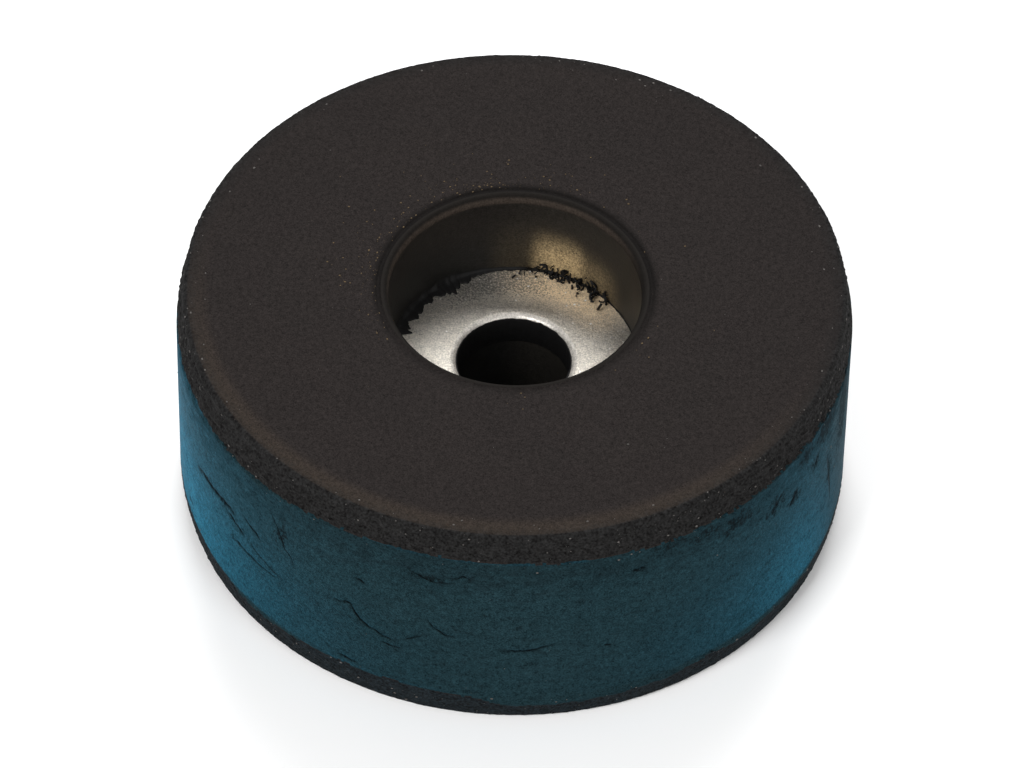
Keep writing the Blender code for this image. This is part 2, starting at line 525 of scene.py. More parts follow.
# %% Recess rubber
def make_recess_rubber():
    finish, tree, shader, place = start_finish("recess_rubber")
    where = use_group(tree, polar, Place=place)
    fine = use_group(tree, grain, Place=place, Size=0.09 * mm, Contrast=0.60)
    colour = blend(tree, cloud(tree, place, 2.2 * mm, detail=3.0), WALL_GREY, WALL_BLACK)
    # Painted light: the wall lighter towards the mouth of the recess, darker deeper in.
    colour = blend(tree, fade(tree, where["Height"], 10.5 * mm, 13.0 * mm), colour, WALL_MOUTH_LIGHT)
    lit_side = part_of_turn(tree, where, 132, 14, 52)
    colour = blend(tree, times(tree, lit_side, 0.55), colour, LIT_WALL)
    # The lip is painted dark as shade, with a painted highlight along its back and left.
    lip = fade(tree, where["Height"], 14.30 * mm, 14.50 * mm)
    marked_region = times(tree, lip, fade(tree, where["Height"], 14.86 * mm, 14.66 * mm))
    colour = blend(tree, lip, colour, LIP_SHADE)
    colour = blend(tree, times(tree, marked_region, part_of_turn(tree, where, -168, 50, 50)), colour, LIP_HIGHLIGHT)
    # Painted warm light on the wall at the back right.
    colour = blend(tree, painted_wall_light(tree, place, where), colour, WARM_WALL_LIGHT)
    roughness = plus(tree, between(tree, fine["Height"], 0.34, 0.52), times(tree, lip, 0.35))
    fill(tree, shader, Base_Color=shaded(tree, colour, fine["Shade"]), Roughness=roughness)
    fill(tree, shader, Specular_IOR_Level=0.13, Specular_Tint=(1.0, 0.90, 0.80))
    relief(tree, shader, fine["Height"], 0.02 * mm, 0.6)
    return finish


recess_rubber = make_recess_rubber()
print("finish:", recess_rubber.name)

# %% [markdown]
# ## Torn rubber, zinc and dust
#
# The torn film is the blackest part, rough where it broke. The washer is dull zinc over punched steel: a
# clouded metal with a coarse grain and painted glints, warmer and less metallic on one side of the recess,
# and darker on the other with painted shade, broken up by pits. Dust comes in two tints, golden crumbs by
# the recess and pale ones at the edges.

# %% Torn rubber
def make_torn_rubber():
    finish, tree, shader, place = start_finish("torn_rubber")
    rough = use_group(tree, grain, Place=place, Size=0.07 * mm, Contrast=0.45)
    fill(tree, shader, Base_Color=shaded(tree, (0.0045, 0.0043, 0.0043), rough["Shade"]))
    fill(tree, shader, Roughness=between(tree, rough["Height"], 0.45, 0.80), Specular_IOR_Level=0.20)
    relief(tree, shader, rough["Height"], 0.02 * mm, 0.7)
    return finish


torn_rubber = make_torn_rubber()
print("finish:", torn_rubber.name)

# %% Zinc-plated steel
ZINC_GREY, ZINC_BRIGHT = (0.50, 0.465, 0.41), (0.83, 0.78, 0.695)
# Below: a warm colour for the back right, painted shade for the back left, and painted glints.
WARM_ZINC, ZINC_SHADE, GLINT = (0.92, 0.70, 0.44), (0.12, 0.116, 0.108), (0.95, 0.91, 0.86)
PUNCHED_EDGE = (0.58, 0.545, 0.495)


def on_washer(tree, where, turn, radii):
    """A mask on one side of the washer that rises between two radii, in millimetres."""
    outwards = fade(tree, where["Radius"], radii[0] * mm, radii[1] * mm)
    return times(tree, part_of_turn(tree, where, *turn), outwards)


def make_zinc_steel():
    finish, tree, shader, place = start_finish("zinc_steel")
    where = use_group(tree, polar, Place=place)
    fine = use_group(tree, grain, Place=place, Size=0.10 * mm, Contrast=0.45)
    blotches = cloud(tree, place, 1.3 * mm, detail=6.0, roughness=0.7)
    colour = blend(tree, blotches, ZINC_GREY, ZINC_BRIGHT)
    # Warmer and less metallic at the back right.
    warm_side = on_washer(tree, where, (152, 10, 36), (3.9, 5.9))
    colour = blend(tree, times(tree, warm_side, 0.85), colour, WARM_ZINC)
    # Painted shade at the back left, broken up by pits; it also makes the zinc rougher there.
    back_left_shade = between(tree, on_washer(tree, where, (-170, 8, 34), (4.4, 5.6)), 0.36, 0.53)
    pits = cloud(tree, place, 0.13 * mm, detail=4.0, roughness=0.75)
    shaded_pits = use_group(tree, patches, Fac=pits, Amount=back_left_shade, Softness=0.07)["Mask"]
    flat = fade(tree, where["Radius"], 3.50 * mm, 3.66 * mm)
    shaded_pits = times(tree, shaded_pits, flat)
    colour = blend(tree, times(tree, shaded_pits, 0.80), colour, ZINC_SHADE)
    # Painted glints on the flat of the washer.
    glints = use_group(tree, specks, Place=place, Spacing=0.36 * mm, Radius=0.20, Share=0.45)["Mask"]
    glints = times(tree, glints, flat)
    colour = blend(tree, times(tree, glints, 0.85), colour, GLINT)
    colour = blend(tree, flat, PUNCHED_EDGE, colour)
    metal = times(tree, between(tree, warm_side, 1.0, 0.45), between(tree, flat, 0.45, 1.0))
    metal = times(tree, metal, between(tree, glints, 1.0, 0.55))
    roughness = plus(tree, between(tree, blotches, 0.28, 0.44), times(tree, shaded_pits, 0.14))
    fill(tree, shader, Base_Color=shaded(tree, colour, fine["Shade"]), Metallic=metal, Roughness=roughness)
    sparkle = cloud(tree, place, 0.15 * mm, detail=4.0, roughness=0.8)
    relief(tree, shader, times(tree, sparkle, between(tree, flat, 0.25, 1.0)), 0.06 * mm, 0.9)
    return finish


zinc_steel = make_zinc_steel()
print("finish:", zinc_steel.name)

# %% Dust
def make_dust(name, dark, light):
    finish, tree, shader, place = start_finish(name)
    colour = blend(tree, cloud(tree, place, 0.7 * mm), dark, light)
    roughness = between(tree, cloud(tree, place, 0.2 * mm), 0.6, 0.95)
    fill(tree, shader, Base_Color=colour, Roughness=roughness, Specular_IOR_Level=0.3)
    return finish


golden_dust = make_dust("golden_dust", (0.040, 0.027, 0.013), (0.15, 0.100, 0.045))
pale_dust = make_dust("pale_dust", (0.025, 0.023, 0.021), (0.14, 0.13, 0.12))
print("finishes:", golden_dust.name, pale_dust.name)

# %% [markdown]
# ## Turning a shape
#
# The body and the washer are both turned shapes: a flat outline swept once round an axis. The Screw
# modifier does that. The outline runs down the outer side, so that the faces look outwards. Points are
# close together where the surface will be roughened, and far apart where it stays flat.

# %% Helpers for outlines
def arc(centre, radii, start, end, steps):
    """Points (radius, height) on an arc, angles in degrees, both ends included."""
    turn = [math.radians(start + (end - start) * i / steps) for i in range(steps + 1)]
    return [(centre[0] + radii[0] * math.cos(a), centre[1] + radii[1] * math.sin(a)) for a in turn]


def run(start, end, steps):
    """Points on a straight line from start up to, but not including, end."""
    share = [i / steps for i in range(steps)]
    return [(start[0] + (end[0] - start[0]) * s, start[1] + (end[1] - start[1]) * s) for s in share]


print("outline helpers ready")


# %% Helpers for pieces
def add_object(name, data):
    """A new object in the scene, at the origin."""
    made = bpy.data.objects.new(name, data)
    bpy.context.scene.collection.objects.link(made)
    return made


def turned(name, outline, steps):
    """The closed outline turned once round the Z axis, as a plain mesh object."""
    drawn = bpy.data.meshes.new(name + "_outline")
    count = len(outline)
    edges = [(i, (i + 1) % count) for i in range(count)]
    drawn.from_pydata([(r, 0.0, z) for r, z in outline], edges, [])
    carrier = add_object(name + "_outline", drawn)
    screw = carrier.modifiers.new("turn", "SCREW")
    screw.angle = 2 * math.pi
    screw.steps = screw.render_steps = steps
    screw.use_merge_vertices = True
    screw.merge_threshold = 0.001 * mm
    return as_plain_mesh(carrier, name)


def as_plain_mesh(carrier, name):
    """Reads an object through its modifiers, removes it, and leaves the result under a new name."""
    graph = bpy.context.evaluated_depsgraph_get()
    mesh = bpy.data.meshes.new_from_object(carrier.evaluated_get(graph), depsgraph=graph)
    bpy.data.objects.remove(carrier)
    mesh.name = name
    mesh.shade_smooth()
    return add_object(name, mesh)


def triangles(piece):
    return sum(len(face.vertices) - 2 for face in piece.data.polygons)


print("piece helpers ready")

# %% [markdown]
# ## The rubber body
#
# The outline starts where the face rounds over into the top band. It goes down the side and in under the
# base, up the screw hole, round the slot that holds the washer, up the recess wall and over the lip. Next
# to the lip lies the faint groove that the shoulder of the core pin pressed into the face.
#
# The face stands a hair below the true height, so that dust can lie on it inside the foot's own size.
# The plain part of the wall has fewer points; the bands above and below it have more, for their grit.

# %% Sizes of the body's outline
BODY_STEPS = 600
FACE_DROP = 0.05 * mm
TOP_EDGE = 0.35 * mm
TOP_BAND_INSET = 0.30 * mm
TOP_BAND_HEIGHT = 1.9 * mm
BASE_EDGE = 0.30 * mm
BASE_BAND_INSET = 0.22 * mm
BASE_BAND_HEIGHT = 1.4 * mm
HOLE_CHAMFER = 0.5 * mm
PIN_GROOVE_WIDTH = 0.42 * mm
PIN_GROOVE_DEPTH = 0.08 * mm
PLAIN_WALL_TOP, PLAIN_WALL_BASE = 12.7 * mm, 2.4 * mm
BASE_TURN = 1.2 * mm
TOUCH = 0.005 * mm
face_level = face_height - FACE_DROP
print(f"face {1000 * face_level:.2f} mm up")


# %% Outline of the body
def body_outline():
    top_edge = foot_radius - TOP_BAND_INSET
    base_edge = foot_radius - BASE_BAND_INSET
    band_end = (foot_radius, face_height - TOP_BAND_HEIGHT)
    side_end = (foot_radius, BASE_BAND_HEIGHT)
    outside = [
        *arc((top_edge - TOP_EDGE, face_level - TOP_EDGE), (TOP_EDGE, TOP_EDGE), 90, 0, 6)[:-1],
        *run((top_edge, face_level - TOP_EDGE), band_end, 15),
        *run(band_end, (foot_radius, PLAIN_WALL_TOP), 5),
        *run((foot_radius, PLAIN_WALL_TOP), (foot_radius, PLAIN_WALL_BASE), 32),
        *run((foot_radius, PLAIN_WALL_BASE), side_end, 6),
        *run(side_end, (base_edge, BASE_EDGE), 12),
        *arc((base_edge - BASE_EDGE, BASE_EDGE), (BASE_EDGE, BASE_EDGE), 0, -90, 5),
    ]
    hole_mouth = SCREW_HOLE_RADIUS + HOLE_CHAMFER
    under = [
        *run((base_edge - BASE_TURN, 0.0), (hole_mouth, 0.0), 6),
        *run((hole_mouth, 0.0), (SCREW_HOLE_RADIUS, HOLE_CHAMFER), 3),
        *run((SCREW_HOLE_RADIUS, HOLE_CHAMFER), (SCREW_HOLE_RADIUS, washer_underside - TOUCH), 4),
    ]
    slot = [
        (SCREW_HOLE_RADIUS, washer_underside - TOUCH),
        (washer_radius + TOUCH, washer_underside - TOUCH),
        (washer_radius + TOUCH, washer_high.z + TOUCH),
        (RECESS_FLOOR_RADIUS + TOUCH, washer_high.z + TOUCH),
    ]
    recess = [
        *run((RECESS_FLOOR_RADIUS, seat_height + TOUCH), (mouth_radius, lip_start_height), 10),
        *arc((lip_radius, lip_start_height), (LIP_WIDTH, face_level - lip_start_height), 180, 90, 9),
    ]
    groove = [
        (lip_radius + PIN_GROOVE_WIDTH * s, face_level - PIN_GROOVE_DEPTH * math.sin(math.pi * s) ** 2)
        for s in [i / 8 for i in range(1, 9)]
    ]
    face_start = (lip_radius + PIN_GROOVE_WIDTH, face_level)
    face = run(face_start, (top_edge - TOP_EDGE, face_level), 13)[1:]
    return outside + under + slot + recess + groove + face


outline = body_outline()
rubber = turned("rubber_foot_body", outline, BODY_STEPS)
print(f"body: {len(outline)} outline points, {triangles(rubber)} triangles")

# %% [markdown]
# ## Where the satin skin ends
#
# The line between the satin side and the gritty bands isn't level. It wanders by half a millimetre, and
# on the right it is chipped into scallops. A few heights round the foot set its course, and noise tears
# it. Angles count from the front, and positive ones go to the right.

# %% The two torn lines
# (degrees, height in millimetres)
TOP_LINE = [
    (-180, 13.1), (-120, 13.0), (-80, 12.6), (-60, 12.72), (-50, 12.75), (-40, 12.87), (-30, 13.15),
    (-10, 13.2), (0, 13.22), (9, 13.05), (20, 13.15), (25, 12.9), (30, 12.92), (36, 13.1), (41, 12.92),
    (47, 13.05), (60, 13.22), (67, 13.1), (74, 12.9), (95, 12.9), (135, 13.0), (180, 13.1),
]
BASE_LINE = [
    (-180, 1.8), (-120, 1.9), (-75, 2.1), (-60, 1.85), (-50, 1.6), (-44, 1.65), (-38, 1.85), (-28, 1.98),
    (-12, 1.95), (-6, 1.8), (-1, 1.25), (8, 1.2), (22, 1.22), (30, 1.35), (36, 1.65), (41, 1.4),
    (52, 1.5), (62, 1.7), (75, 2.0), (120, 1.7), (180, 1.8),
]
# Where the top line is chipped: the chips grow over the first two angles and end over the last two.
CHIPPED = (32, 40, 75, 95)


def line_height(knots, degrees):
    """The height of a torn line at these angles, in metres."""
    angles, heights = zip(*knots)
    return np.interp(degrees, angles, heights) * mm


def tear(x, y, size, seed):
    """Noise round the foot, -1 to 1, for arrays of places."""
    spots = zip(x / size, y / size)
    return np.array([noise.noise(Vector((a, b, seed))) for a, b in spots])


def coordinates(items, what="co"):
    """One row (x, y, z) for each vertex, or the centre of each face."""
    flat = np.empty(3 * len(items), np.float32)
    items.foreach_get(what, flat)
    return flat.reshape(-1, 3).astype(float)


def polar_of(points):
    """(radius, angle in degrees from the front, height) of each point."""
    x, y, z = points.T
    return np.hypot(x, y), np.degrees(np.arctan2(x, -y)), z


print("torn lines run from", min(h for _, h in TOP_LINE), "to", max(h for _, h in TOP_LINE), "mm up")

# %% [markdown]
# ## Flow creases
#
# Each crease is a short path over the side wall, given as (angle, height) pairs. The faces along
# a path are cut finer first, because a groove a tenth of a millimetre wide needs small faces. Then the
# points sink by how near they are to the path, and the same nearness is kept as the `crease` mask.

# %% Crease paths
CREASES = [
    # (path, half width, depth), sizes in millimetres
    ([(-68.5, 7.4), (-66, 7.75), (-62, 7.85), (-58, 8.05), (-55.5, 8.15), (-53.4, 8.0)], 0.14, 0.09),
    ([(-56.5, 7.65), (-54, 7.45), (-51.0, 7.05)], 0.10, 0.07),
    ([(-49.6, 6.9), (-47.6, 6.6), (-45, 6.35), (-41.5, 6.0)], 0.045, 0.04),
    ([(-51.6, 8.75), (-49.6, 8.4), (-48.0, 8.25), (-46.6, 7.95)], 0.08, 0.06),
    ([(-55.0, 5.75), (-53.2, 6.0), (-50.5, 5.85), (-46.0, 5.75), (-42.0, 5.9)], 0.055, 0.05),
    ([(-44.5, 11.2), (-42.6, 10.2), (-41.4, 9.3), (-41.0, 8.8), (-39.6, 8.5), (-39.0, 7.9)], 0.04, 0.03),
    ([(-31.2, 6.95), (-29.0, 7.15), (-27.4, 7.3), (-26.6, 6.6), (-25.3, 6.15), (-23.5, 5.85), (-21.0, 5.45),
      (-19.2, 5.35)], 0.075, 0.08),
    ([(-22.0, 4.95), (-18.5, 4.9)], 0.06, 0.04),
    ([(-17.5, 5.7), (-16.0, 6.1), (-14.8, 6.3)], 0.05, 0.04),
    ([(-13.7, 7.8), (-12.3, 7.2), (-10.9, 6.9), (-8.9, 6.7)], 0.07, 0.07),
    ([(-1.5, 6.0), (1.0, 5.93), (3.2, 5.95), (5.2, 6.15), (7.9, 6.45)], 0.075, 0.08),
    ([(20.7, 11.5), (21.8, 11.45), (23.0, 11.6)], 0.12, 0.06),
    ([(-16.8, 11.7), (-14.4, 11.3), (-12.2, 11.1), (-9.0, 11.25)], 0.055, 0.04),
    ([(-9.6, 11.5), (-7.6, 11.9), (-6.0, 11.7)], 0.05, 0.04),
    ([(-30.0, 2.55), (-28.2, 2.5), (-26.4, 2.4)], 0.08, 0.05),
    ([(-26.4, 9.6), (-25.6, 9.55), (-24.7, 9.35)], 0.08, 0.06),
    ([(68.3, 9.3), (69.0, 8.2), (69.6, 7.2), (70.4, 6.2), (71.0, 4.6)], 0.09, 0.04),
    ([(64.4, 11.1), (63.2, 10.6), (62.2, 9.9)], 0.08, 0.05),
    ([(52.2, 11.2), (51.0, 10.8), (49.6, 10.3)], 0.09, 0.05),
    ([(57.0, 10.2), (55.6, 9.8), (54.4, 9.3)], 0.09, 0.05),
    ([(16.0, 5.75), (17.6, 5.7)], 0.06, 0.04),
    ([(36.5, 1.95), (37.4, 1.6)], 0.10, 0.06),
    ([(118, 7.4), (124, 6.6), (131, 6.9), (137, 6.2)], 0.07, 0.07),
    ([(152, 9.6), (158, 9.0), (163, 9.2)], 0.06, 0.06),
    ([(-150, 5.2), (-143, 6.0), (-137, 5.8), (-131, 6.5)], 0.07, 0.07),
    ([(-112, 10.2), (-107, 9.5), (-103, 9.6)], 0.06, 0.05),
]
print(len(CREASES), "creases")

# %% Scuffed places, one partly painted shade
# (angle, height, half width in degrees, half height, strength)
SCUFFS_AND_SHADE = [
    (28.5, 12.6, 4.5, 0.5, 0.85), (35, 12.3, 4.5, 0.7, 0.85), (41, 11.7, 4.5, 0.8, 0.95),
    (50, 10.7, 3.4, 0.8, 0.92), (55.6, 9.8, 2.7, 0.6, 0.95), (62.5, 10.5, 1.9, 0.7, 0.92),
    (59, 12.2, 3, 0.8, 0.95), (67, 12.2, 4, 1.0, 1.1), (69.6, 7.6, 1.7, 1.6, 0.85),
    # The patch at 77 degrees, at the right edge, is partly painted shade.
    (77, 10.5, 4, 3.2, 1.05), (64, 3.0, 1.8, 1.0, 0.7), (-13, 11.4, 4.5, 0.35, 0.85),
    (-41.6, 9.8, 2.2, 1.2, 0.85), (-53, 7.3, 4.5, 0.5, 0.75), (-60, 7.9, 7, 0.25, 0.9),
    (-28, 7.0, 2, 0.4, 0.75), (-54, 6.0, 2, 0.35, 0.9), (-6, 8.9, 5, 0.4, 0.65),
    (16, 11.6, 9, 0.6, 0.6), (-72, 3.0, 2.0, 0.4, 0.95), (-33, 11.0, 8, 1.0, 0.5),
    (52, 5.0, 8, 1.0, 0.4),
]
SCUFF_SOFTNESS = 0.38
print(len(SCUFFS_AND_SHADE), "scuffed places")

# %% Points along each crease
CREASE_WANDER = 0.09 * mm
CREASE_SHADE = 1.6
CREASE_SINK = 0.45


def crease_points(path):
    """The path on the unrolled wall as (run, height, strength) rows, close together, with thin ends."""
    angles, heights = np.array(path, float).T
    along = np.linspace(0, len(path) - 1, 24 * len(path))
    turn = np.interp(along, range(len(path)), angles)
    rise = np.interp(along, range(len(path)), heights) * mm
    wander = np.array([noise.noise(Vector((a * 0.9, h * 700, 4.0))) for a, h in zip(turn, rise)])
    strength = np.sin(np.pi * (0.06 + 0.88 * along / along[-1])) ** 0.7
    strength = strength * (0.8 + 0.35 * np.roll(wander, 5))
    return np.column_stack([np.radians(turn) * foot_radius, rise + wander * CREASE_WANDER, strength])


paths = [(crease_points(path), wide * mm, deep * mm) for path, wide, deep in CREASES]
print(sum(len(points) for points, _, _ in paths), "points along the creases")

# %% Cutting the creases
CUT_MARGIN = 0.17 * mm
CUT_LEVEL = 0.30


def nearness(points, path, wide):
    """How strongly each point lies in the crease, 0 to 1."""
    _, degrees, z = polar_of(points)
    spots = np.column_stack([np.radians(degrees) * foot_radius, z])
    found = np.zeros(len(points))
    low = path[:, :2].min(0) - 6 * wide
    high = path[:, :2].max(0) + 6 * wide
    close = np.flatnonzero(((spots > low) & (spots < high)).all(1))
    gap = spots[close, None, :] - path[None, :, :2]
    distance = np.sqrt((gap**2).sum(2))
    nearest = distance.argmin(1)
    found[close] = np.exp(-((distance.min(1) / wide) ** 2)) * path[nearest, 2]
    return found


def cut_finer(mesh):
    """Divides the faces of the side wall that a crease crosses, so that they can hold it."""
    centres = coordinates(mesh.polygons, "center")
    wall = np.hypot(centres[:, 0], centres[:, 1]) > foot_radius - 0.03 * mm
    crossed = np.zeros(len(centres), bool)
    for path, wide, _ in paths:
        crossed |= nearness(centres, path, wide + CUT_MARGIN) > CUT_LEVEL
    grid = bmesh.new()
    grid.from_mesh(mesh)
    grid.faces.ensure_lookup_table()
    edges = {edge for i in np.flatnonzero(crossed & wall) for edge in grid.faces[i].edges}
    bmesh.ops.subdivide_edges(grid, edges=list(edges), cuts=3, use_grid_fill=True)
    grid.to_mesh(mesh)
    grid.free()


cut_finer(rubber.data)
print(f"body: {triangles(rubber)} triangles with the creases cut finer")

# %% [markdown]
# ## Shaping the wall and painting the masks
#
# The side wall is never quite round, so it gets a slow waviness. The gritty bands stand a few hundredths
# of a millimetre behind the satin skin. Everything sinks inwards, so the foot keeps its true size.
#
# The masks could be worked out in the shader, but a mask painted on the points can also steer the shape:
# `grit` and `rough` for the bands, `crease` for the painted shade in the folds, and one for the worn
# places, whose largest patch, at the right edge, is partly painted shade.

# %% Where the zones meet
OUTER_ZONE = 0.8 * mm
ZONE_MATT, ZONE_SATIN, ZONE_RECESS = 0, 1, 2
# How the two lines tear: (size of the noise, its seed, how far it moves the line)
TOP_TEARS = [(0.9 * mm, 1.5, 0.08 * mm), (0.33 * mm, 2.5, 0.05 * mm)]
BASE_TEARS = [(0.8 * mm, 3.5, 0.13 * mm), (0.3 * mm, 5.5, 0.06 * mm)]
CHIP_SIZE, CHIP_SEED, CHIP_DEPTH = 1.3 * mm, 7.5, 0.45 * mm


def torn_heights(points):
    """(top line, base line) at each point, torn by noise."""
    _, degrees, _ = polar_of(points)
    x, y = points[:, 0], points[:, 1]
    chips = np.interp(degrees, CHIPPED, [0, 1, 1, 0])
    top, base = line_height(TOP_LINE, degrees), line_height(BASE_LINE, degrees)
    for size, seed, far in TOP_TEARS:
        top = top + tear(x, y, size, seed) * far
    for size, seed, far in BASE_TEARS:
        base = base + tear(x, y, size, seed) * far
    return top - np.abs(tear(x, y, CHIP_SIZE, CHIP_SEED)) * chips * CHIP_DEPTH, base


def paint(mesh, name, values):
    layer = mesh.attributes.get(name) or mesh.attributes.new(name, "FLOAT", "POINT")
    layer.data.foreach_set("value", values.astype(np.float32))


def mark_zones(mesh):
    """Says for each face which of the three rubber finishes it has."""
    centres = coordinates(mesh.polygons, "center")
    radius, _, z = polar_of(centres)
    top, base = torn_heights(centres)
    zone = np.full(len(centres), ZONE_MATT, np.int32)
    zone[(radius > foot_radius - OUTER_ZONE) & (z > base) & (z < top)] = ZONE_SATIN
    zone[(radius < lip_radius + 0.05 * mm) & (z > HOLE_CHAMFER)] = ZONE_RECESS
    layer = mesh.attributes.new("zone", "INT", "FACE")
    layer.data.foreach_set("value", zone)
    return [int((zone == kind).sum()) for kind in (ZONE_MATT, ZONE_SATIN, ZONE_RECESS)]


print("zones:", ZONE_MATT, ZONE_SATIN, ZONE_RECESS)

# %% Shape and masks of the body
WAVE_DEPTH, WAVE_SIZE = 0.035 * mm, 6 * mm
SKIN = 0.022 * mm
SKIN_FADE = 0.06 * mm
GRIT_WIDTH, GRIT_FADE = 0.72 * mm, 0.12 * mm
BASE_CALM, FACE_CALM = 0.4, 0.15


def shape_wall(mesh):
    """Sinks the points of the wall and gives back (radius, degrees, z, outer, wall, crease)."""
    points = coordinates(mesh.vertices)
    radius, degrees, z = polar_of(points)
    top, base = torn_heights(points)
    outer = radius > foot_radius - OUTER_ZONE
    wall = outer & (z > base) & (z < top)
    slow = np.array([0.5 + 0.5 * noise.noise(Vector(p) / WAVE_SIZE) for p in points])
    sink = slow * WAVE_DEPTH * outer * np.clip((z - 0.5 * mm) / (2 * mm), 0, 1)
    skin = np.clip((top - z) / SKIN_FADE, 0, 1)
    sink += SKIN * (1 - skin) * outer * np.clip((z - 0.35 * mm) / mm, 0, 1)
    crease = np.zeros(len(points))
    for path, wide, deep in paths:
        near = nearness(points, path, wide) * wall
        sink += near * deep * CREASE_SINK
        crease = np.maximum(crease, near)
    keep = (radius - sink) / np.maximum(radius, mm)
    points[:, 0] *= np.where(outer, keep, 1.0)
    points[:, 1] *= np.where(outer, keep, 1.0)
    mesh.vertices.foreach_set("co", points.astype(np.float32).ravel())
    mesh.update()
    return radius, degrees, z, outer, wall, crease


def paint_masks(mesh, radius, degrees, z, outer, wall, crease):
    rim = np.clip((radius - (foot_radius - GRIT_WIDTH)) / GRIT_FADE, 0, 1)
    under = np.clip((z - 0.02 * mm) / (0.2 * mm), 0, 1)
    band = rim * under * (1 - wall)
    paint(mesh, "grit", band)
    calm = np.clip((face_level - z) / (0.5 * mm), FACE_CALM, 1) * np.where(z < 2.5 * mm, BASE_CALM, 1.0)
    paint(mesh, "rough", band * calm)
    # Painted shade in the folds, from their nearness.
    paint(mesh, "crease", np.clip(crease * CREASE_SHADE, 0, 1))
    # Scuff marks, and painted shade at the right edge.
    scuff_and_shade = np.zeros(len(z))
    for angle, height, wide, tall, strength in SCUFFS_AND_SHADE:
        far = ((degrees - angle) / wide) ** 2 + ((z / mm - height) / tall) ** 2
        scuff_and_shade = np.maximum(scuff_and_shade, strength * np.exp(-far * SCUFF_SOFTNESS))
    paint(mesh, "scuff_and_shade", scuff_and_shade * outer)


paint_masks(rubber.data, *shape_wall(rubber.data))
print("faces in matt, satin and recess rubber:", mark_zones(rubber.data))

# %% [markdown]
# ## Grit with Geometry Nodes
#
# Grit is a rule that follows a surface: push each point in or out by noise, as far as the painted mask
# allows. That is a small Geometry Nodes tree, and the washer's punched edge uses it again with other
# numbers. The tree also hands out the finishes by zone, as its last steps.

# %% Helpers for Geometry Nodes
INTEGER, STRING, MATERIAL = "NodeSocketInt", "NodeSocketString", "NodeSocketMaterial"


def new_tree(title, inputs):
    """A Geometry Nodes tree with a mesh in, a mesh out and named inputs: (tree, inputs, output node)."""
    tree = bpy.data.node_groups.new(title, "GeometryNodeTree")
    tree.interface.new_socket("Geometry", in_out="OUTPUT", socket_type="NodeSocketGeometry")
    tree.interface.new_socket("Geometry", in_out="INPUT", socket_type="NodeSocketGeometry")
    for name, kind in inputs:
        tree.interface.new_socket(name, in_out="INPUT", socket_type=kind)
    entry = tree.nodes.new("NodeGroupInput")
    leave = tree.nodes.new("NodeGroupOutput")
    return tree, entry.outputs, leave


def step(tree, kind, settings=None, **values):
    """Adds one geometry node with its settings, and feeds its inputs."""
    made = tree.nodes.new(kind)
    for name, value in (settings or {}).items():
        setattr(made, name, value)
    return fill(tree, made, **values)


def read_mask(tree, name, kind="FLOAT"):
    """What was painted on the surface under this name."""
    return step(tree, "GeometryNodeInputNamedAttribute", {"data_type": kind}, Name=name).outputs["Attribute"]


def real_and_dressed(tree, shape, finish):
    """Turns any copies into plain geometry, and gives the shape its finish."""
    real = step(tree, "GeometryNodeRealizeInstances", Geometry=shape).outputs[0]
    return step(tree, "GeometryNodeSetMaterial", Geometry=real, Material=finish).outputs[0]


def apply_tree(piece, tree, **values):
    """Runs a tree on a piece and leaves the result as a plain mesh, with no modifier on it."""
    name = piece.name
    modifier = piece.modifiers.new("made", "NODES")
    modifier.node_group = tree
    sockets = {item.name: item.identifier for item in tree.interface.items_tree if item.in_out == "INPUT"}
    for title, value in values.items():
        modifier[sockets[title.replace("_", " ")]] = value
    piece.name = name + "_before"
    return as_plain_mesh(piece, name)


print("Geometry Nodes helpers ready")

# %% The grit tree
# More of the noise lies below this level than above it, so more of the surface sinks than stands out.
GRIT_LEVEL = 0.62
GRIT_GAIN = 4.0


def make_grit_tree():
    inputs = [("Grain size", FLOAT), ("Grain height", FLOAT), ("Seed", FLOAT)]
    inputs += [("Finish", MATERIAL), ("Zone 1 finish", MATERIAL), ("Zone 2 finish", MATERIAL)]
    tree, given, out = new_tree("grit_on_a_surface", inputs)
    place = tree.nodes.new("GeometryNodeInputPosition").outputs[0]
    normal = tree.nodes.new("GeometryNodeInputNormal").outputs[0]
    lumps = step(tree, "ShaderNodeTexNoise", {"noise_dimensions": "4D"}, Vector=place, W=given["Seed"])
    fill(tree, lumps, Scale=maths(tree, "DIVIDE", 1.0, given["Grain size"]), Detail=3.0, Roughness=0.65)
    swing = times(tree, maths(tree, "SUBTRACT", lumps.outputs["Fac"], GRIT_LEVEL), given["Grain height"])
    amount = times(tree, times(tree, swing, GRIT_GAIN), read_mask(tree, "rough"))
    push = step(tree, "ShaderNodeVectorMath", {"operation": "SCALE"}, Scale=amount)
    feed(tree, push.inputs[0], normal)
    moved = step(tree, "GeometryNodeSetPosition", Geometry=given["Geometry"], Offset=push.outputs[0])
    shape = real_and_dressed(tree, moved.outputs[0], given["Finish"])
    zone = read_mask(tree, "zone", "INT")
    for number in (ZONE_SATIN, ZONE_RECESS):
        here = tree.nodes.new("FunctionNodeCompare")
        here.data_type, here.operation = "INT", "EQUAL"
        feed(tree, here.inputs[2], zone)
        here.inputs[3].default_value = number
        dress = step(tree, "GeometryNodeSetMaterial", Geometry=shape, Selection=here.outputs[0])
        shape = fill(tree, dress, Material=given[f"Zone {number} finish"]).outputs[0]
    feed(tree, out.inputs[0], shape)
    return tree


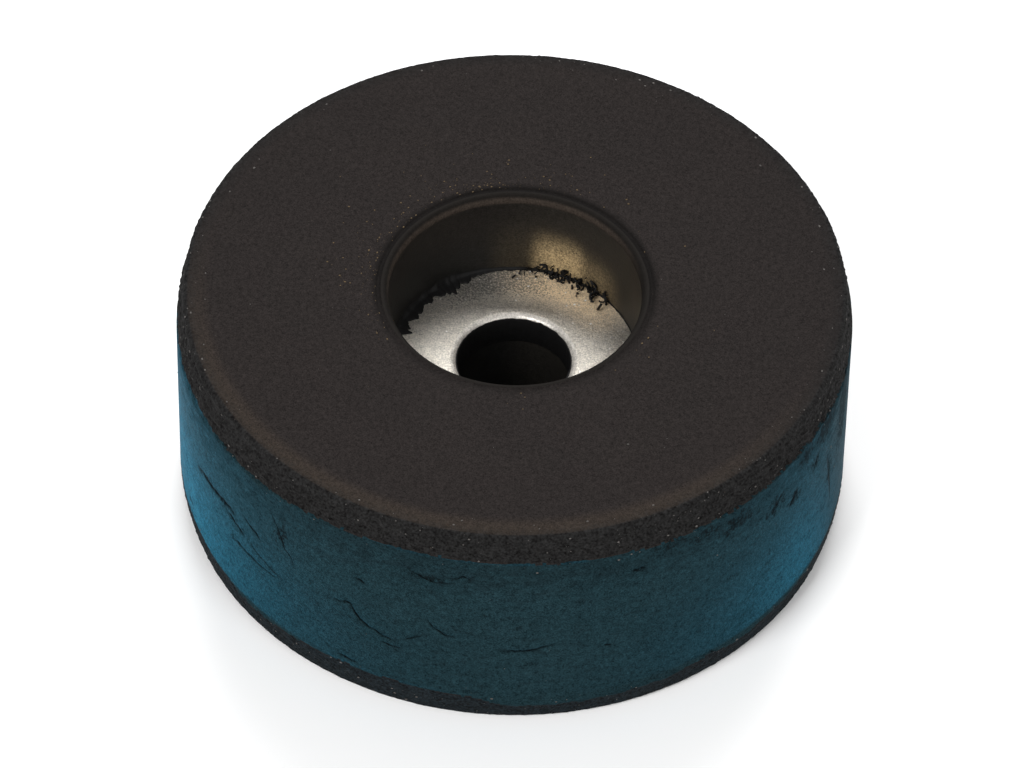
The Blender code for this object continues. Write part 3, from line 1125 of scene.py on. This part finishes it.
grit_tree = make_grit_tree()
SHARP = math.radians(50)
rubber = apply_tree(
    rubber,
    grit_tree,
    Grain_size=0.22 * mm,
    Grain_height=0.15 * mm,
    Seed=3.0,
    Finish=matt_rubber,
    Zone_1_finish=satin_rubber,
    Zone_2_finish=recess_rubber,
)
rubber.data.set_sharp_from_angle(angle=SHARP)
print(f"{rubber.name}: {triangles(rubber)} triangles, finishes {[m.name for m in rubber.data.materials]}")

# %% [markdown]
# ## The steel washer
#
# A punch rounds the edge of the hole on the side that it enters. That rolled edge is what shines in the
# recess. It has small nicks, which the same grit tree makes, and the rest of the washer stays flat.

# %% Washer
WASHER_STEPS = 480
ROLL_WIDTH = 0.40 * mm
ROLL_DEPTH = 0.32 * mm
WASHER_BREAK = 0.15 * mm
NICKED_RADIUS, NICKED_DEPTH = 3.75 * mm, 0.45 * mm


def washer_outline():
    rim = washer_radius - WASHER_BREAK
    roll_centre = (SCREW_HOLE_RADIUS + ROLL_WIDTH, seat_height - ROLL_DEPTH)
    seat_edge = (RECESS_FLOOR_RADIUS + TOUCH, washer_high.z)
    return [
        *run((rim, washer_high.z), (washer_radius, washer_high.z - WASHER_BREAK), 2),
        (washer_radius, washer_high.z - WASHER_BREAK),
        (washer_radius, washer_underside + WASHER_BREAK),
        *run((rim, washer_underside), (SCREW_HOLE_RADIUS + WASHER_BREAK, washer_underside), 5),
        (SCREW_HOLE_RADIUS + WASHER_BREAK, washer_underside),
        *run((SCREW_HOLE_RADIUS, washer_underside + WASHER_BREAK), (SCREW_HOLE_RADIUS, roll_centre[1]), 6),
        *arc(roll_centre, (ROLL_WIDTH, ROLL_DEPTH), 180, 90, 14),
        *run((roll_centre[0] + 0.1 * mm, seat_height), (RECESS_FLOOR_RADIUS, seat_height), 16),
        (RECESS_FLOOR_RADIUS, seat_height),
        seat_edge,
    ]


washer = turned("washer", washer_outline(), WASHER_STEPS)
washer_points = coordinates(washer.data.vertices)
from_axis, _, up = polar_of(washer_points)
on_roll = np.clip((NICKED_RADIUS - from_axis) / (0.1 * mm), 0, 1) * (up > seat_height - NICKED_DEPTH)
paint(washer.data, "rough", on_roll)
washer = apply_tree(
    washer, grit_tree, Grain_size=0.45 * mm, Grain_height=0.016 * mm, Seed=8.0, Finish=zinc_steel
)
washer.data.set_sharp_from_angle(angle=SHARP)
print(f"{washer.name}: {triangles(washer)} triangles")

# %% [markdown]
# ## The torn film on the washer
#
# In the press a little rubber squeezes between the washer and the core pin. It sets as a film, and tears
# into scallops when the pin is pulled. The film is a ring whose inner edge is worked out angle by angle:
# a few given widths, times a scalloped noise. A second thin film lines the washer's hole.

# %% Sizes of the film
FILM_STEPS = 1600
# (degrees, width in millimetres)
FILM_WIDTHS = [
    (-180, 0.15), (-170, 0.22), (-160, 0.38), (-151, 0.70), (-146, 1.05), (-140, 1.0), (-136, 0.62),
    (-127, 0.62), (-119, 0.95), (-114, 0.50), (-108, 1.05), (-103, 0.42), (-97, 0.2), (-90, 0.14),
    (20, 0.16), (80, 0.08), (105, 0.05), (140, 0.08), (180, 0.12),
]
FILM_THICKNESS = 0.07 * mm
FILM_CLIMB = 0.28 * mm
FILM_LEAST = 0.03 * mm
HAIR = 0.002 * mm
print("film up to", max(width for _, width in FILM_WIDTHS), "mm wide")


# %% Helpers for rings
def around(turn, size, seed):
    """A spot on a circle in the noise; a larger circle gives more lobes in one turn."""
    return Vector((math.cos(turn) * size, math.sin(turn) * size, seed))


def ring_of(name, sections, finish):
    """Joins one closed section for each angle into a ring, and closes the ring on itself."""
    made = bmesh.new()
    rings = [[made.verts.new(point) for point in section] for section in sections]
    size = len(rings[0])
    for here, there in zip(rings, rings[1:] + rings[:1]):
        for i in range(size):
            j = (i + 1) % size
            made.faces.new((here[i], here[j], there[j], there[i]))
    bmesh.ops.recalc_face_normals(made, faces=made.faces)
    mesh = bpy.data.meshes.new(name)
    made.to_mesh(mesh)
    made.free()
    mesh.shade_smooth()
    mesh.set_sharp_from_angle(angle=math.radians(60))
    mesh.materials.append(finish)
    return add_object(name, mesh)


def at(radius, turn, height):
    """A point by its angle from the front, in radians."""
    return (radius * math.sin(turn), -radius * math.cos(turn), height)


print("ring helpers ready")


# %% Film
def scallops(turn):
    """How far the film reaches: least at the cusps of the tear and most in the middle of a lobe."""
    spot = around(turn, 7.5, 0.0)
    small = noise.noise(spot * 5.2 + Vector((0, 0, 9.0)))
    return 0.72 + 0.5 * min(1.0, 1.6 * abs(noise.noise(spot * 1.7))) + 0.2 * small


def film_section(turn):
    """The film's outline at this angle: up the wall, down to the torn edge, and back under."""
    degrees = math.degrees(turn)
    angles, widths = zip(*FILM_WIDTHS)
    smooth_width = float(np.interp(degrees, angles, widths))
    width = smooth_width * mm * max(0.25, scallops(turn))
    wall = RECESS_FLOOR_RADIUS + 2 * HAIR
    edge = wall - max(width, FILM_LEAST)
    lift = 1.0 + 0.6 * noise.noise(around(turn, 9, 2.0))
    thick = FILM_THICKNESS * lift
    climb = FILM_CLIMB * lift * (0.5 + 1.1 * smooth_width)
    return [
        at(wall, turn, seat_height + HAIR),
        at(wall, turn, seat_height + climb),
        at(wall - 0.12 * width, turn, seat_height + thick * 1.8),
        at(wall - 0.4 * width, turn, seat_height + thick * 1.1),
        at(edge + 0.18 * width, turn, seat_height + thick),
        at(edge + 0.03 * width, turn, seat_height + thick * 0.75),
        at(edge, turn, seat_height + 0.3 * thick),
        at(edge + 0.02 * width, turn, seat_height + HAIR),
    ]


turns = [-math.pi + 2 * math.pi * i / FILM_STEPS for i in range(FILM_STEPS)]
film = ring_of("torn_film", [film_section(turn) for turn in turns], torn_rubber)
print(f"{film.name}: {triangles(film)} triangles")


# %% Lining of the hole
LINING_TOP = 0.17 * mm
LINING_TAIL = 0.4 * mm


def lining_section(turn):
    ragged = noise.noise(around(turn, 12, 5.0))
    top = seat_height - LINING_TOP + 0.07 * mm * ragged
    outer, inner = SCREW_HOLE_RADIUS - HAIR, SCREW_HOLE_RADIUS - (0.06 + 0.02 * ragged) * mm
    low = washer_underside - LINING_TAIL
    return [
        at(outer, turn, low),
        at(inner, turn, low + 0.05 * mm),
        at(inner, turn, top - 0.10 * mm),
        at(inner + 0.04 * mm, turn, top),
        at(outer + 0.035 * mm, turn, top),
        at(outer, turn, seat_height - ROLL_DEPTH),
    ]


lining = ring_of("hole_lining", [lining_section(turn) for turn in turns[::2]], torn_rubber)
print(f"{lining.name}: {triangles(lining)} triangles")

# %% [markdown]
# ## Curls of rubber on the back of the washer
#
# Where the film tore off whole, it left curls and crumbs along the corner of the wall and the washer. Each
# is a short bent wire. Geometry Nodes puts copies on a set of points with random sizes and turns; the
# points lie on an arc at the back of the recess, thick in the middle and thin at its ends.

# %% Curl tree
FULL_TURN = 6.28


def make_curl_tree():
    inputs = [("Curl size", FLOAT), ("Wire radius", FLOAT), ("Seed", INTEGER), ("Finish", MATERIAL)]
    tree, given, out = new_tree("curls_on_points", inputs)
    bend = step(tree, "GeometryNodeCurveArc", {"mode": "RADIUS"}, Resolution=6, Sweep_Angle=2.3)
    fill(tree, bend, Radius=given["Curl size"])
    wire = step(tree, "GeometryNodeCurvePrimitiveCircle", {"mode": "RADIUS"}, Resolution=5)
    fill(tree, wire, Radius=given["Wire radius"])
    body = step(tree, "GeometryNodeCurveToMesh", Curve=bend.outputs["Curve"], Fill_Caps=True)
    fill(tree, body, Profile_Curve=wire.outputs["Curve"])
    spin = random_of(tree, "FLOAT_VECTOR", (0.0, 0.0, 0.0), (FULL_TURN, FULL_TURN, FULL_TURN), given["Seed"])
    size = random_of(tree, "FLOAT", 0.45, 1.5, given["Seed"])
    put = step(tree, "GeometryNodeInstanceOnPoints", Points=given["Geometry"], Rotation=spin, Scale=size)
    fill(tree, put, Instance=body.outputs["Mesh"])
    feed(tree, out.inputs[0], real_and_dressed(tree, put.outputs[0], given["Finish"]))
    return tree


def random_of(tree, kind, low, high, seed):
    """A random number or vector for each copy."""
    made = tree.nodes.new("FunctionNodeRandomValue")
    made.data_type = kind
    sockets = [s for s in made.inputs if s.enabled]
    feed(tree, sockets[0], low)
    feed(tree, sockets[1], high)
    feed(tree, made.inputs["Seed"], seed)
    return [s for s in made.outputs if s.enabled][0]


curl_tree = make_curl_tree()
print("tree:", curl_tree.name)

# %% Curls
CURL_ARC = (124, 158, 181)
CURL_COUNT = 95
CURL_INWARDS, CURL_UPWARDS = 0.19 * mm, 0.23 * mm
CURL_HIGHEST = 0.62 * mm


def scattered_points(name, places):
    """A mesh of loose points, for a tree to put things on."""
    mesh = bpy.data.meshes.new(name)
    mesh.from_pydata(places, [], [])
    return add_object(name, mesh)


def curl_places():
    """Places along the arc: most near its middle angle, fewer further in from the wall and higher up."""
    chance = np.random.default_rng(11)
    turn = np.radians(chance.triangular(*CURL_ARC, CURL_COUNT))
    radius = RECESS_FLOOR_RADIUS - 0.04 * mm - chance.exponential(CURL_INWARDS, CURL_COUNT)
    height = np.minimum(chance.exponential(CURL_UPWARDS, CURL_COUNT), CURL_HIGHEST)
    return [at(r, t, seat_height + 0.05 * mm + h) for r, t, h in zip(radius, turn, height)]


curls = apply_tree(
    scattered_points("rubber_curls", curl_places()),
    curl_tree,
    Curl_size=0.24 * mm,
    Wire_radius=0.056 * mm,
    Seed=5,
    Finish=torn_rubber,
)
print(f"{curls.name}: {triangles(curls)} triangles")

# %% [markdown]
# ## Dust and crumbs
#
# Golden crumbs lie round the back and the left of the recess, and pale ones cling to the gritty bands.
# The tree scatters points on the body itself, more where a painted mask is strong, and sits a small
# squashed ball on each one. Only the balls come out of the tree.

# %% Dust tree
SMALLEST_CRUMB, CRUMB_RANGE = 0.45, 1.1
CRUMB_FLATNESS = 0.55


def make_dust_tree():
    inputs = [("Mask", STRING), ("Specks per square metre", FLOAT), ("Speck size", FLOAT)]
    inputs += [("Seed", INTEGER), ("Finish", MATERIAL)]
    tree, given, out = new_tree("dust_on_a_surface", inputs)
    density = times(tree, read_mask(tree, given["Mask"]), given["Specks per square metre"])
    spread = step(tree, "GeometryNodeDistributePointsOnFaces", {"distribute_method": "RANDOM"})
    fill(tree, spread, Mesh=given["Geometry"], Density=density, Seed=given["Seed"])
    ball = step(tree, "GeometryNodeMeshIcoSphere", Radius=given["Speck size"], Subdivisions=1)
    chance = random_of(tree, "FLOAT", 0.0, 1.0, given["Seed"])
    # The cube of a random number: most crumbs are small and a few are large.
    swell = times(tree, maths(tree, "POWER", chance, 3.0), CRUMB_RANGE)
    size = plus(tree, SMALLEST_CRUMB, swell)
    width = random_of(tree, "FLOAT", 0.6, 1.5, given["Seed"])
    scale = step(tree, "ShaderNodeCombineXYZ", X=times(tree, size, width), Y=size)
    fill(tree, scale, Z=times(tree, size, CRUMB_FLATNESS))
    put = step(tree, "GeometryNodeInstanceOnPoints", Points=spread.outputs["Points"], Scale=scale.outputs[0])
    fill(tree, put, Instance=ball.outputs["Mesh"], Rotation=spread.outputs["Rotation"])
    feed(tree, out.inputs[0], real_and_dressed(tree, put.outputs[0], given["Finish"]))
    return tree


dust_tree = make_dust_tree()
print("tree:", dust_tree.name)


# %% Dust pieces
def bump_at(value, centre, width):
    """1 at the centre, and falling away smoothly over about this width."""
    return np.exp(-(((value - centre) / width) ** 2))


def dust_masks(mesh):
    """Paints where each kind of dust lies."""
    points = coordinates(mesh.vertices)
    radius, degrees, z = polar_of(points)
    face = (z > face_level - 0.02 * mm) & (radius > lip_radius + 0.1 * mm)
    near = np.exp(-np.clip(radius - lip_radius, 0, None) / (0.75 * mm))
    sides = bump_at(degrees, -108, 26) + 0.8 * bump_at(degrees, -168, 20)
    sides = sides + 0.5 * bump_at(degrees, 170, 18) + 0.06
    paint(mesh, "golden", face * near * sides)
    edge = (radius > foot_radius - 0.75 * mm) & (z > 0.15 * mm)
    band = np.where(z > 12.6 * mm, 1.0, np.where(z < 1.9 * mm, 0.8, 0.03))
    face_dust = 0.03 + 0.35 * bump_at(radius, 17.9 * mm, 0.8 * mm)
    paint(mesh, "pale", np.where(edge, band, np.where(face, face_dust, 0.0)))


def dust_piece(name, mask, density, size, seed, finish):
    return apply_tree(
        add_object(name, rubber.data.copy()),
        dust_tree,
        Mask=mask,
        Specks_per_square_metre=density,
        Speck_size=size,
        Seed=seed,
        Finish=finish,
    )


dust_masks(rubber.data)
golden_specks = dust_piece("golden_specks", "golden", 4.2e7, 0.036 * mm, 3, golden_dust)
pale_specks = dust_piece("pale_specks", "pale", 1.3e6, 0.044 * mm, 4, pale_dust)
for layer in ("golden", "pale"):
    rubber.data.attributes.remove(rubber.data.attributes[layer])
print(f"dust: {triangles(golden_specks)} and {triangles(pale_specks)} triangles")

# %% [markdown]
# ## Handing the pieces over
#
# Every piece rides on the one body. The fine body and the fine washer stand for the two plain solids.

# %% Ride and replace
for piece in (rubber, washer, film, lining, curls, golden_specks, pale_specks):
    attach(piece, "root")
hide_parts("rubber_body")
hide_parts("steel_washer")

# %% [markdown]
# ## Camera
#
# A long lens from well above keeps the round outlines true. The camera is placed by its distance and
# angles from the middle of the foot, and rolled a little, as a hand-held one would be.

# %% Camera
LENS = 259.2
DISTANCE = 0.418
ELEVATION = math.radians(47.6)
ROLL = math.radians(1.1)
AIM_RIGHT, AIM_UP = -0.07 * mm, -0.34 * mm

middle = Vector((0.0, 0.0, face_height / 2))
towards = Vector((0.0, math.cos(ELEVATION), -math.sin(ELEVATION)))
level_right = Vector((1.0, 0.0, 0.0))
level_up = level_right.cross(towards)
aim = middle + level_right * AIM_RIGHT + level_up * AIM_UP
camera = add_object("camera", bpy.data.cameras.new("camera"))
camera.data.lens = LENS
camera.data.clip_start = 0.01
camera.location = aim - towards * DISTANCE
camera.rotation_mode = "QUATERNION"
camera.rotation_quaternion = towards.to_track_quat("-Z", "Y") @ Quaternion((0.0, 0.0, 1.0), ROLL)
bpy.context.scene.camera = camera
print(f"camera {DISTANCE * 1000:.0f} mm away, {math.degrees(ELEVATION):.1f} degrees up")

# %% [markdown]
# ## Floor and light
#
# A wide pale floor, a pale sky and three large soft lights: the key from the front left, a weaker fill
# from the front right, and one from behind, which is what the washer mirrors towards the camera.

# %% Floor
FLOOR_SIZE = 3.0
FLOOR_WHITE = (0.96, 0.96, 0.96)
floor_mesh = bpy.data.meshes.new("floor")
half = FLOOR_SIZE / 2
corners = [(-half, -half, 0), (half, -half, 0), (half, half, 0), (-half, half, 0)]
floor_mesh.from_pydata(corners, [], [(0, 1, 2, 3)])
floor = add_object("floor", floor_mesh)
floor_paint = bpy.data.materials.new("floor_paint")
floor_paint.use_nodes = True
floor_shader = floor_paint.node_tree.nodes["Principled BSDF"]
fill(floor_paint.node_tree, floor_shader, Base_Color=FLOOR_WHITE, Roughness=1.0, Specular_IOR_Level=0.0)
floor_mesh.materials.append(floor_paint)
print("floor", FLOOR_SIZE, "m across")


# %% Light
def soft_light(name, place, size, power):
    """A square area light that looks at the middle of the foot."""
    lamp = bpy.data.lights.new(name, "AREA")
    lamp.size = size
    lamp.energy = power
    holder = add_object(name, lamp)
    holder.location = place
    holder.rotation_mode = "QUATERNION"
    holder.rotation_quaternion = (middle - Vector(place)).to_track_quat("-Z", "Y")


soft_light("key", (-0.50, -0.55, 0.75), 0.40, 7.0)
soft_light("fill", (0.52, -0.68, 0.60), 0.50, 3.4)
soft_light("back", (0.05, 0.75, 0.80), 0.55, 10.0)
SKY_STRENGTH = 0.45
sky = bpy.data.worlds.new("sky")
sky.use_nodes = True
fill(sky.node_tree, sky.node_tree.nodes["Background"], Color=(1.0, 1.0, 1.0), Strength=SKY_STRENGTH)
bpy.context.scene.world = sky
bpy.context.scene.view_settings.view_transform = "Standard"
